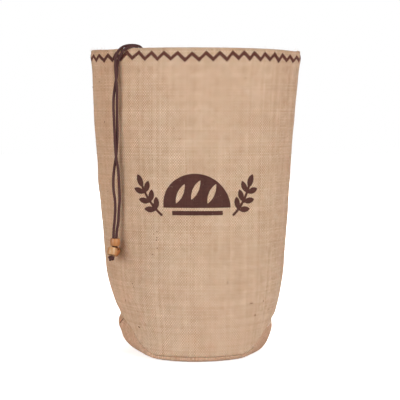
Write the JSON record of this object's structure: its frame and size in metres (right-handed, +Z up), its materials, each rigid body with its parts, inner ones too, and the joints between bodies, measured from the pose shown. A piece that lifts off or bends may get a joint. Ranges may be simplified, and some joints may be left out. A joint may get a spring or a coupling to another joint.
{
  "type": "hessian bread bag",
  "caption": "Tall open bag of hessian cloth that stands on a sewn-in oval base, with a turned-in hem at its rim and a drawcord with wooden beads hung outside.",
  "frame": {"origin": "middle of the bag's plan, on the surface that it stands on", "axes": "+Z up, the front faces -Y, and the cord hangs at the -X end of the front"},
  "size_m": [0.2608, 0.1967, 0.3756],
  "materials": {
    "hessian": "coarse plain weave, matt",
    "cord_yarn": "round cord with a faint sheen",
    "bead_wood": "satin"
  },
  "bodies": {
    "root": {"bag_body": "hessian", "base_panel": "hessian", "cord_left": "cord_yarn", "cord_right": "cord_yarn", "bead_slider": "bead_wood", "bead_front": "bead_wood", "bead_back": "bead_wood", "knot_front": "cord_yarn", "knot_back": "cord_yarn"}
  },
  "joints": []
}
